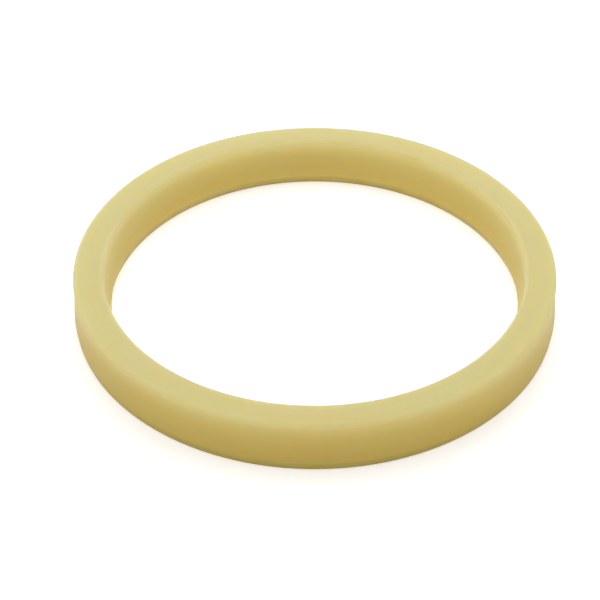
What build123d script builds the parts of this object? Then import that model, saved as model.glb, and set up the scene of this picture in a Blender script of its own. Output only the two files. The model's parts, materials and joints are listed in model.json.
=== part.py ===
from build123d import *
import os
from math import cos, radians, sin, tan

# U cup rod seal: one ring of moulded polyurethane, turned about +Z.
# The solid heel is up and the two lips point down. The groove between the
# lips opens downwards, to the pressure side. The origin is on the axis, at
# the level of the lip ends. All sizes are in millimetres and degrees.

# Whole ring
rod_diameter = 88.9  # bore of the heel, for a 3 1/2 in rod
section_width = 6.35  # heel, rod to gland bore: half the difference to 4 in
height = 11.1  # heel face to lip ends

# Heel: straight walls, and a flat face with an eased edge on each side
outer_heel_radius = 1.2
inner_heel_bevel = 0.5

# Groove: a round root between the lips, and walls that open downwards
groove_depth = 5.2
groove_wall_angle = 12.7  # lean of each wall from the seal's axis
lip_rise = 1.8  # the lips start to flare this far above the groove's root

# Outer lip, which stays still against the gland
outer_lip_thickness = 2.2  # beside the groove's root
outer_lip_flare = 0.4  # how far the sealing edge stands out past the heel
outer_bevel_height = 1.6  # sealing edge above the lip end
outer_bevel_depth = 0.2  # how far the bevel draws in, down to the lip end

# Inner lip, which wipes the rod and reaches further
inner_lip_thickness = 2.2
inner_lip_flare = 1.15
inner_bevel_height = 2.1
inner_bevel_depth = 0.6

# Radii of the heel's walls and of the sealing edges
heel_inner = rod_diameter / 2
heel_outer = heel_inner + section_width
sealing_inner = heel_inner - inner_lip_flare
sealing_outer = heel_outer + outer_lip_flare
lip_start = groove_depth + lip_rise

# The groove's root fills the room that the lips leave between them
root_radius = (section_width - inner_lip_thickness - outer_lip_thickness) / 2
root_middle = heel_inner + inner_lip_thickness + root_radius
root_level = groove_depth - root_radius

# Half the groove's width at the lip ends, where its walls have opened out
wall_lean = radians(groove_wall_angle)
wall_top = root_level + root_radius * sin(wall_lean)
half_mouth = root_radius * cos(wall_lean) + wall_top * tan(wall_lean)

# Corners of the section as (radius, level), round from the groove's mouth
outer_mouth = (root_middle + half_mouth, 0)
outer_end = (sealing_outer - outer_bevel_depth, 0)
outer_seal = (sealing_outer, outer_bevel_height)
outer_bend = (heel_outer, lip_start)
outer_heel = (heel_outer, height)
inner_heel = (heel_inner, height)
inner_bend = (heel_inner, lip_start)
inner_seal = (sealing_inner, inner_bevel_height)
inner_end = (sealing_inner + inner_bevel_depth, 0)
inner_mouth = (root_middle - half_mouth, 0)


def vertex_at(sketch, corner):
    """The sketch's vertex at one of the section's corners."""
    return sketch.vertices().sort_by_distance(corner)[0]


with BuildPart() as u_cup_seal:
    with BuildSketch(Plane.XZ) as section:
        with BuildLine():
            root = CenterArc(
                (root_middle, root_level),
                root_radius,
                groove_wall_angle,
                180 - 2 * groove_wall_angle,
            )
            Polyline(
                root @ 0,
                outer_mouth,
                outer_end,
                outer_seal,
                outer_bend,
                outer_heel,
                inner_heel,
                inner_bend,
                inner_seal,
                inner_end,
                inner_mouth,
                root @ 1,
            )
        make_face()
        fillet(vertex_at(section, outer_heel), outer_heel_radius)
        chamfer(vertex_at(section, inner_heel), inner_heel_bevel)
    revolve(axis=Axis.Z)

u_cup_seal.part.label = "u_cup_seal"

os.makedirs("parts", exist_ok=True)
export_step(u_cup_seal.part, "parts/u_cup_seal.step")
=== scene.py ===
import json
import math

import bpy
from mathutils import Matrix, Vector


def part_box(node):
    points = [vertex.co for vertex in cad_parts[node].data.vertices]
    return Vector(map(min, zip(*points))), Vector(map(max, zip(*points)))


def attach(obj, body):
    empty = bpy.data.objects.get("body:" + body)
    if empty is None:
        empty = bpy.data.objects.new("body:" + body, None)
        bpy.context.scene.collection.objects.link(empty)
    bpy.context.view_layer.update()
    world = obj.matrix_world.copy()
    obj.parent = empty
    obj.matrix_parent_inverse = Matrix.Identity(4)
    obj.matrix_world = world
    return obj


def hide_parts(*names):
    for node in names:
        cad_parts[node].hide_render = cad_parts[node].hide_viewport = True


# U cup rod seal: one moulded ring, which stands on its lips with its heel up

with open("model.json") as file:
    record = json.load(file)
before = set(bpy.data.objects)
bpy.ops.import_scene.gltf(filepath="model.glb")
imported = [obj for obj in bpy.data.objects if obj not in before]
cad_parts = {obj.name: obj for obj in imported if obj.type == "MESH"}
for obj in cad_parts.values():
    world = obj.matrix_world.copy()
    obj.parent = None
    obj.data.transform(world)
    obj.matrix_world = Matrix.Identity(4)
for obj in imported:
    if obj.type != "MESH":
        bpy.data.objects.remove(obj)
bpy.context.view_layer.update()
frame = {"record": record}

# Sizes in metres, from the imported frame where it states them
MM = 0.001
mounts = {mount["name"]: mount for mount in frame["record"]["mounts"]}
HEEL_INNER = mounts["rod_bore"]["dims"]["r_mm"] * MM
HEEL_OUTER = mounts["gland_wall"]["dims"]["r_mm"] * MM
ring_low, ring_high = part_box("u_cup_seal")
HEIGHT = ring_high.z
SEALING_OUTER = ring_high.x

# Heel edges
OUTER_HEEL_ROUNDING = 1.2 * MM
INNER_HEEL_ROUNDING = 0.75 * MM

# Groove and lips
GROOVE_DEPTH = 5.2 * MM
GROOVE_WALL_LEAN = math.radians(12.7)
LIP_THICKNESS = 2.2 * MM  # beside the groove's root
LIP_RISE = 1.8 * MM  # the lips start to flare this far above the root
LIP_START = GROOVE_DEPTH + LIP_RISE
LIP_BEND = 10 * MM
OUTER_BEVEL_HEIGHT = 1.6 * MM
OUTER_BEVEL_DEPTH = 0.2 * MM
INNER_LIP_FLARE = 1.15 * MM
INNER_BEVEL_HEIGHT = 2.1 * MM
INNER_BEVEL_DEPTH = 0.6 * MM
SEALING_ROUNDING = 0.2 * MM
LIP_END_ROUNDING = 0.25 * MM

# How finely the ring is turned, and how near its points must lie to be joined
# where it closes
STEPS_ROUND = 384
STEPS_PER_ROUNDING = 8
SEAM_GAP = 0.002 * MM

# The ring's tan by level above the lip ends, on the outside and in the bore, with
# painted light and shade in it. The walls are made lighter than the heel face to
# stand in for the light they lack, most just under the heel's edges. Low down they
# are a deeper yellow as painted shade. The heel face is paler and whiter, a painted
# sheen. In the bore the lip ends are lightened where they lie in shade.
# The heel face passes from the one to the other over the blend's width,
# outwards from the rounding of its inner edge
TINT_AND_PAINTED_LIGHT_BLEND = 2.2 * MM
TINT_AND_PAINTED_LIGHT_OUTSIDE = [
    (0.0 * MM, (0.755, 0.523, 0.116)),
    (1.4 * MM, (0.758, 0.531, 0.120)),
    (3.0 * MM, (0.759, 0.543, 0.126)),
    (6.5 * MM, (0.765, 0.587, 0.150)),
    (8.5 * MM, (0.777, 0.631, 0.188)),
    (9.6 * MM, (0.782, 0.657, 0.235)),
    (10.2 * MM, (0.765, 0.651, 0.267)),
    (10.75 * MM, (0.709, 0.611, 0.275)),
    (11.0 * MM, (0.660, 0.580, 0.262)),
    (11.1 * MM, (0.631, 0.566, 0.250)),
]
TINT_AND_PAINTED_LIGHT_IN_BORE = [
    (0.0 * MM, (0.835, 0.617, 0.187)),
    (1.0 * MM, (0.803, 0.592, 0.172)),
    (2.2 * MM, (0.764, 0.562, 0.154)),
    (4.5 * MM, (0.762, 0.581, 0.160)),
    (8.0 * MM, (0.791, 0.661, 0.217)),
    (9.4 * MM, (0.806, 0.712, 0.288)),
    (10.2 * MM, (0.800, 0.712, 0.338)),
    (10.6 * MM, (0.722, 0.634, 0.308)),
    (10.9 * MM, (0.650, 0.567, 0.267)),
    (11.1 * MM, (0.613, 0.539, 0.246)),
]

# Bands and finer streaks that run round the ring: how wide they are across it
# and how quickly they change along it. Then what the noises have in common: the
# finer layers, and the part of their span that is used
BAND_WIDTH = 2.4 * MM
BAND_TURNS = 1.6
STREAK_WIDTH = 0.35 * MM
STREAK_TURNS = 3.0
NOISE_DETAIL = 2.0
NOISE_ROUGHNESS = 0.6
NOISE_LOW, NOISE_HIGH = 0.3, 0.7

# The bands cast the tint warmer or cooler, and the streaks dim or lift it
WARM_CAST = (1.02, 0.985, 0.93, 1)
COOL_CAST = (0.985, 1.01, 1.05, 1)
STREAK_DIM, STREAK_LIFT = 0.988, 1.012

# The surface: how rough over the bands, how much more over the streaks, a
# shallow relief of the streaks and of a fine grain, and a dull shine
ROUGH_LOW, ROUGH_HIGH = 0.40, 0.48
STREAK_ROUGH = 0.06
GRAINS_PER_METRE = 2600.0
STREAK_RELIEF = 0.6
GRAIN_RELIEF = 0.4
RELIEF_STRENGTH = 0.12
RELIEF_DEPTH = 0.02 * MM
REFRACTIVE_INDEX = 1.5
SPECULAR_LEVEL = 0.3

# How far light scatters inside the rubber, and its share by colour
SCATTER_DEPTH = 5.0 * MM
SCATTER_SHARES = (1.0, 0.9, 0.6)

# The floor: half its width, how far below the lips it lies, and its grey. To
# the eye it glows white as well, and more so between two distances from the axis
FLOOR_HALF = 3.0
FLOOR_DROP = 0.02 * MM
FLOOR_GREY = 0.8
GLOW_FROM, GLOW_TO = 0.15, 0.6
GLOW_NEAR, GLOW_FAR = 0.43, 1.0

# The room's own light, and the lamps: azimuth from the front to the right and
# elevation in degrees, distance and width in metres, and power in watts
ROOM_LIGHT = 0.13
LAMPS = {
    "overhead": (180, 80, 0.7, 0.6, 1.3),
    "back": (180, 50, 0.6, 0.5, 1.8),
    "left": (-95, 42, 0.8, 0.6, 1.6),
    "right": (95, 42, 0.8, 0.6, 1.4),
    "front": (0, 35, 1.6, 1.2, 7.0),
}

# The camera, aimed a little beside the ring's centre
CAMERA_ELEVATION = math.radians(39.5)
CAMERA_DISTANCE = 7.145 * HEEL_OUTER
CAMERA_ROLL = math.radians(0.41)
RING_RIGHT_OF_VIEW = 0.0606 * HEEL_OUTER
RING_ABOVE_VIEW = 0.0823 * HEEL_OUTER
LENS_MM = 102.24
SENSOR_MM = 36.0
CLIP_START = 0.01


# ---------------------------------------------------------------- helpers


def socket_id(tree, name):
    """Identifier of a node group's input, found by its name."""
    for item in tree.interface.items_tree:
        if item.item_type == "SOCKET" and item.in_out == "INPUT" and item.name == name:
            return item.identifier
    raise KeyError(name)


def in_scene(name, data):
    """A new object that holds the data, linked to the scene."""
    body = bpy.data.objects.new(name, data)
    bpy.context.scene.collection.objects.link(body)
    return body


class Graph:
    """Adds nodes to a tree and joins them."""

    def __init__(self, tree):
        self.tree = tree

    def add(self, kind, inputs=None, **settings):
        """A node with its settings made, and its inputs joined or given values."""
        node = self.tree.nodes.new(kind)
        for name, value in settings.items():
            setattr(node, name, value)
        for key, value in (inputs or {}).items():
            if isinstance(value, bpy.types.NodeSocket):
                self.tree.links.new(value, node.inputs[key])
            else:
                node.inputs[key].default_value = value
        return node

    def math(self, operation, a, b=0.0):
        """Result of one operation on one or two values."""
        node = self.add("ShaderNodeMath", {0: a, 1: b}, operation=operation)
        return node.outputs[0]


def emptied_graph(owner):
    """Graph of a material's or world's own node tree, with nothing in it."""
    owner.use_nodes = True
    owner.node_tree.nodes.clear()
    return Graph(owner.node_tree)


# ------------------------------------------------------------------- ring


def section_corners():
    """The section's corners as (radius, level, rounding), round the outline."""
    root = (HEEL_OUTER - HEEL_INNER) / 2 - LIP_THICKNESS
    middle = (HEEL_OUTER + HEEL_INNER) / 2
    lean = GROOVE_WALL_LEAN
    root_level = GROOVE_DEPTH - root
    wall_top = root_level + root * math.sin(lean)
    half_mouth = root * math.cos(lean) + wall_top * math.tan(lean)
    # each wall is carried on to the top of the groove, where the two corners,
    # rounded by the root's radius, meet as its full round
    half_root = half_mouth - GROOVE_DEPTH * math.tan(lean)
    sealing_inner = HEEL_INNER - INNER_LIP_FLARE
    return [
        (middle + half_root, GROOVE_DEPTH, root),
        (middle + half_mouth, 0, LIP_END_ROUNDING),
        (SEALING_OUTER - OUTER_BEVEL_DEPTH, 0, LIP_END_ROUNDING),
        (SEALING_OUTER, OUTER_BEVEL_HEIGHT, SEALING_ROUNDING),
        (HEEL_OUTER, LIP_START, LIP_BEND),
        (HEEL_OUTER, HEIGHT, OUTER_HEEL_ROUNDING),
        (HEEL_INNER, HEIGHT, INNER_HEEL_ROUNDING),
        (HEEL_INNER, LIP_START, LIP_BEND),
        (sealing_inner, INNER_BEVEL_HEIGHT, SEALING_ROUNDING),
        (sealing_inner + INNER_BEVEL_DEPTH, 0, LIP_END_ROUNDING),
        (middle - half_mouth, 0, LIP_END_ROUNDING),
        (middle - half_root, GROOVE_DEPTH, root),
    ]


def section_outline():
    """A closed line of the corners in the XZ plane, with their roundings."""
    corners = section_corners()
    mesh = bpy.data.meshes.new("section")
    points = [(radius, 0, level) for radius, level, _ in corners]
    edges = [(i, (i + 1) % len(points)) for i in range(len(points))]
    mesh.from_pydata(points, edges, [])
    rounding = mesh.attributes.new("rounding", "FLOAT", "POINT")
    for item, corner in zip(rounding.data, corners):
        item.value = corner[2]
    return in_scene("section", mesh)


def turning_tree():
    """Node tree that rounds a section's corners and turns it about Z."""
    tree = bpy.data.node_groups.new("turned ring", "GeometryNodeTree")
    sockets = tree.interface
    sockets.new_socket("Section", in_out="INPUT", socket_type="NodeSocketGeometry")
    sockets.new_socket("Steps round", in_out="INPUT", socket_type="NodeSocketInt")
    sockets.new_socket("Steps per rounding", in_out="INPUT", socket_type="NodeSocketInt")
    sockets.new_socket("Finish", in_out="INPUT", socket_type="NodeSocketMaterial")
    sockets.new_socket("Ring", in_out="OUTPUT", socket_type="NodeSocketGeometry")
    g = Graph(tree)
    given = g.add("NodeGroupInput").outputs

    line = g.add("GeometryNodeMeshToCurve", {"Mesh": given["Section"]})
    radius = g.add("GeometryNodeInputNamedAttribute", {"Name": "rounding"})
    rounded = g.add(
        "GeometryNodeFilletCurve",
        {
            "Curve": line.outputs[0],
            "Count": given["Steps per rounding"],
            "Radius": radius.outputs["Attribute"],
            "Limit Radius": True,
        },
        mode="POLY",
    )

    # a flat grid with one column of points for each step round, which are then
    # laid on the turned section
    length = g.add("GeometryNodeAttributeDomainSize", {0: rounded.outputs[0]}, component="CURVE")
    points = length.outputs["Point Count"]
    around = g.math("ADD", given["Steps round"], 1.0)
    along = g.math("ADD", points, 1.0)
    grid = g.add(
        "GeometryNodeMeshGrid",
        {"Size X": 1.0, "Size Y": 1.0, "Vertices X": around, "Vertices Y": along},
    )
    # the half keeps each index clear of the whole steps when it is divided
    index = g.add("GeometryNodeInputIndex").outputs[0]
    step = g.math("FLOOR", g.math("DIVIDE", g.math("ADD", index, 0.5), along))
    place = g.math("SUBTRACT", index, g.math("MULTIPLY", step, along))
    wrapped = g.math("MODULO", place, points)
    corner = g.add(
        "GeometryNodeSampleIndex",
        {"Geometry": rounded.outputs[0], "Index": wrapped},
        data_type="FLOAT_VECTOR",
        domain="POINT",
    )
    position = g.add("GeometryNodeInputPosition").outputs[0]
    tree.links.new(position, corner.inputs["Value"])
    apart = g.add("ShaderNodeSeparateXYZ", {0: corner.outputs[0]})
    turn = g.math("MULTIPLY", g.math("DIVIDE", step, given["Steps round"]), 2 * math.pi)
    turned = g.add(
        "ShaderNodeCombineXYZ",
        {
            "X": g.math("MULTIPLY", apart.outputs["X"], g.math("COSINE", turn)),
            "Y": g.math("MULTIPLY", apart.outputs["X"], g.math("SINE", turn)),
            "Z": apart.outputs["Z"],
        },
    )
    laid = g.add(
        "GeometryNodeSetPosition",
        {"Geometry": grid.outputs["Mesh"], "Position": turned.outputs[0]},
    )
    closed = g.add(
        "GeometryNodeMergeByDistance",
        {"Geometry": laid.outputs[0], "Distance": SEAM_GAP},
    )
    smooth = g.add("GeometryNodeSetShadeSmooth", {"Geometry": closed.outputs[0]})
    real = g.add("GeometryNodeRealizeInstances", {"Geometry": smooth.outputs[0]})
    finish = g.add(
        "GeometryNodeSetMaterial",
        {"Geometry": real.outputs[0], "Material": given["Finish"]},
    )
    out = g.add("NodeGroupOutput")
    tree.links.new(finish.outputs[0], out.inputs[0])
    return tree


def turned_ring(finish):
    """The whole seal, turned from its section, as a plain mesh."""
    outline = section_outline()
    tree = turning_tree()
    turning = outline.modifiers.new("turning", "NODES")
    turning.node_group = tree
    turning[socket_id(tree, "Steps round")] = STEPS_ROUND
    turning[socket_id(tree, "Steps per rounding")] = STEPS_PER_ROUNDING
    turning[socket_id(tree, "Finish")] = finish
    bpy.context.view_layer.update()
    view = outline.evaluated_get(bpy.context.evaluated_depsgraph_get())
    mesh = bpy.data.meshes.new_from_object(view)
    mesh.name = "seal_ring"
    # the section's own empty material slot comes before the finish
    mesh.materials.pop(index=0)
    bpy.data.objects.remove(outline)
    return in_scene("seal_ring", mesh)


# --------------------------------------------------------------- material


def between(g, value, low, high, to_low, to_high):
    """The value's span from low to high, mapped onto another span."""
    span = {"Value": value, "From Min": low, "From Max": high, "To Min": to_low, "To Max": to_high}
    return g.add("ShaderNodeMapRange", span).outputs["Result"]


def blend(g, factor, first, second):
    """The first colour where the factor is 0, passing into the second at 1."""
    mix = g.add("ShaderNodeMix", {"Factor": factor, "A": first, "B": second}, data_type="RGBA")
    return mix.outputs["Result"]


def tint_and_painted_light_by_level(g, level, tints_and_painted_light):
    """Colour ramp over the ring's height, with a stop at each given level: the ring's tan with
    painted light and shade.
    """
    ramp = g.add("ShaderNodeValToRGB", {"Fac": level})
    # a new ramp has two stops: the second goes, and the first takes the first tint
    stops = ramp.color_ramp.elements
    stops.remove(stops[1])
    for number, (height, colour) in enumerate(tints_and_painted_light):
        stop = stops.new(height / HEIGHT) if number else stops[0]
        stop.position = height / HEIGHT
        stop.color = (*colour, 1)
    return ramp.outputs["Color"]


def layered_noise(g, inputs, **settings):
    """Noise with finer layers on it, which all the skin's noises share."""
    layers = {"Detail": NOISE_DETAIL, "Roughness": NOISE_ROUGHNESS}
    return g.add("ShaderNodeTexNoise", {**inputs, **layers}, **settings).outputs["Fac"]


def noise_round(g, facing, reach, height, width, turns):
    """Noise drawn out round the ring: narrow across it, slow to change along it."""
    rings = g.add(
        "ShaderNodeCombineXYZ",
        {
            "X": g.math("MULTIPLY", facing["X"], turns),
            "Y": g.math("MULTIPLY", facing["Y"], turns),
            "Z": g.math("DIVIDE", height, width),
        },
    )
    across = g.math("DIVIDE", reach, width)
    inputs = {"Vector": rings.outputs[0], "W": across, "Scale": 1.0}
    return layered_noise(g, inputs, noise_dimensions="4D")


def polyurethane():
    """Waxy, slightly see-through cast polyurethane, tan, with painted light and shade by level
    that make it creamier towards the heel face.
    """
    material = bpy.data.materials.new("cast polyurethane")
    g = emptied_graph(material)

    # place on the ring: level, distance from the axis, and direction from it
    place = g.add("ShaderNodeTexCoord").outputs["Object"]
    height = g.add("ShaderNodeSeparateXYZ", {0: place}).outputs["Z"]
    flat = g.add("ShaderNodeVectorMath", {0: place, 1: (1, 1, 0)}, operation="MULTIPLY").outputs[0]
    reach = g.add("ShaderNodeVectorMath", {0: flat}, operation="LENGTH").outputs["Value"]
    unit = g.add("ShaderNodeVectorMath", {0: flat}, operation="NORMALIZE").outputs[0]
    facing = g.add("ShaderNodeSeparateXYZ", {0: unit}).outputs

    # the colour by level holds painted light and shade: a deeper yellow low down as
    # painted shade, creamier towards the heel face as a painted sheen, and the walls
    # made lighter to make up for their shade
    level = g.math("DIVIDE", height, HEIGHT)
    bore = tint_and_painted_light_by_level(g, level, TINT_AND_PAINTED_LIGHT_IN_BORE)
    wall = tint_and_painted_light_by_level(g, level, TINT_AND_PAINTED_LIGHT_OUTSIDE)
    blend_start = HEEL_INNER + INNER_HEEL_ROUNDING
    outside = between(g, reach, blend_start, blend_start + TINT_AND_PAINTED_LIGHT_BLEND, 0.0, 1.0)
    tint_and_painted_light = blend(g, outside, bore, wall)

    bands = noise_round(g, facing, reach, height, BAND_WIDTH, BAND_TURNS)
    streaks = noise_round(g, facing, reach, height, STREAK_WIDTH, STREAK_TURNS)
    grain = layered_noise(g, {"Vector": place, "Scale": GRAINS_PER_METRE})

    cooler = between(g, bands, NOISE_LOW, NOISE_HIGH, 0.0, 1.0)
    cast = blend(g, cooler, WARM_CAST, COOL_CAST)
    depth = between(g, streaks, NOISE_LOW, NOISE_HIGH, STREAK_DIM, STREAK_LIFT)
    shade = g.add("ShaderNodeVectorMath", {0: tint_and_painted_light, 1: cast}, operation="MULTIPLY").outputs[0]
    shade = g.add("ShaderNodeVectorMath", {0: shade, "Scale": depth}, operation="SCALE").outputs[0]

    rough = between(g, bands, NOISE_LOW, NOISE_HIGH, ROUGH_LOW, ROUGH_HIGH)
    rough = g.math("ADD", rough, g.math("MULTIPLY", streaks, STREAK_ROUGH))
    streak_relief = g.math("MULTIPLY", streaks, STREAK_RELIEF)
    grain_relief = g.math("MULTIPLY", grain, GRAIN_RELIEF)
    relief = {
        "Height": g.math("ADD", streak_relief, grain_relief),
        "Strength": RELIEF_STRENGTH,
        "Distance": RELIEF_DEPTH,
    }
    surface = g.add(
        "ShaderNodeBsdfPrincipled",
        {
            "Base Color": shade,
            "Roughness": rough,
            "Normal": g.add("ShaderNodeBump", relief).outputs["Normal"],
            "IOR": REFRACTIVE_INDEX,
            "Specular IOR Level": SPECULAR_LEVEL,
            "Subsurface Weight": 1.0,
            "Subsurface Radius": SCATTER_SHARES,
            "Subsurface Scale": SCATTER_DEPTH,
        },
        subsurface_method="RANDOM_WALK",
    )
    g.add("ShaderNodeOutputMaterial", {"Surface": surface.outputs[0]})
    return material


# ----------------------------------------------------------------- studio


def to_the_eye(g):
    """1 on rays from the camera, also those reflected or let through, else 0."""
    path = g.add("ShaderNodeLightPath").outputs
    seen = g.math("MAXIMUM", path["Is Camera Ray"], path["Is Glossy Ray"])
    return g.math("MAXIMUM", seen, path["Is Transmission Ray"])


def floor_finish():
    """Pale floor: white to the eye, with the object's shadow kept."""
    material = bpy.data.materials.new("floor")
    g = emptied_graph(material)
    card = g.add("ShaderNodeBsdfDiffuse", {"Color": (FLOOR_GREY, FLOOR_GREY, FLOOR_GREY, 1)})
    # the lamps stand close by, so the floor needs a stronger glow further out
    place = g.add("ShaderNodeTexCoord").outputs["Object"]
    reach = g.add("ShaderNodeVectorMath", {0: place}, operation="LENGTH").outputs["Value"]
    strength = between(g, reach, GLOW_FROM, GLOW_TO, GLOW_NEAR, GLOW_FAR)
    strength = g.math("MULTIPLY", to_the_eye(g), strength)
    glow = g.add("ShaderNodeEmission", {"Color": (1, 1, 1, 1), "Strength": strength})
    both = g.add("ShaderNodeAddShader", {0: card.outputs[0], 1: glow.outputs[0]})
    g.add("ShaderNodeOutputMaterial", {"Surface": both.outputs[0]})
    return material


def floor():
    """A wide flat floor just below the lip ends."""
    half = FLOOR_HALF
    mesh = bpy.data.meshes.new("floor")
    mesh.from_pydata(
        [(-half, -half, 0), (half, -half, 0), (half, half, 0), (-half, half, 0)],
        [],
        [(0, 1, 2, 3)],
    )
    mesh.materials.append(floor_finish())
    plane = in_scene("floor", mesh)
    plane.location.z = ring_low.z - FLOOR_DROP


def softbox(name, azimuth, elevation, distance, width, power):
    """A square lamp aimed at the foot of the ring's axis, kept out of reflections."""
    lamp = bpy.data.lights.new(name, "AREA")
    lamp.shape = "SQUARE"
    lamp.size = width
    lamp.energy = power
    body = in_scene(name, lamp)
    turn, tilt = math.radians(azimuth), math.radians(elevation)
    away = Vector(
        (math.sin(turn) * math.cos(tilt), -math.cos(turn) * math.cos(tilt), math.sin(tilt))
    )
    body.location = away * distance
    body.rotation_euler = away.to_track_quat("Z", "Y").to_euler()
    body.visible_glossy = False


def studio():
    """Plain soft light: a white room, and lamps overhead and on all four sides."""
    world = bpy.data.worlds.new("studio")
    bpy.context.scene.world = world
    g = emptied_graph(world)
    strength = g.math("MAXIMUM", to_the_eye(g), ROOM_LIGHT)
    room = g.add("ShaderNodeBackground", {"Color": (1, 1, 1, 1), "Strength": strength})
    g.add("ShaderNodeOutputWorld", {"Surface": room.outputs[0]})
    for name, settings in LAMPS.items():
        softbox(name, *settings)


# ----------------------------------------------------------------- camera


def camera():
    """Looks down on the front of the ring, which sits a little off centre."""
    data = bpy.data.cameras.new("camera")
    data.lens = LENS_MM
    data.sensor_width = SENSOR_MM
    data.clip_start = CLIP_START
    body = in_scene("camera", data)
    tilt, roll = CAMERA_ELEVATION, CAMERA_ROLL
    forward = Vector((0, math.cos(tilt), -math.sin(tilt)))
    level_right = Vector((1, 0, 0))
    level_up = Vector((0, math.sin(tilt), math.cos(tilt)))
    right = level_right * math.cos(roll) - level_up * math.sin(roll)
    up = level_right * math.sin(roll) + level_up * math.cos(roll)
    centre = Vector((0, 0, HEIGHT / 2))
    place = centre - forward * CAMERA_DISTANCE
    place -= right * RING_RIGHT_OF_VIEW + up * RING_ABOVE_VIEW
    axes = Matrix((right, up, -forward)).transposed()
    body.matrix_world = Matrix.Translation(place) @ axes.to_4x4()
    bpy.context.scene.camera = body


# ------------------------------------------------------------------ build

bpy.context.scene.view_settings.view_transform = "Standard"

seal = turned_ring(polyurethane())
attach(seal, "root")
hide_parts("u_cup_seal")

floor()
studio()
camera()
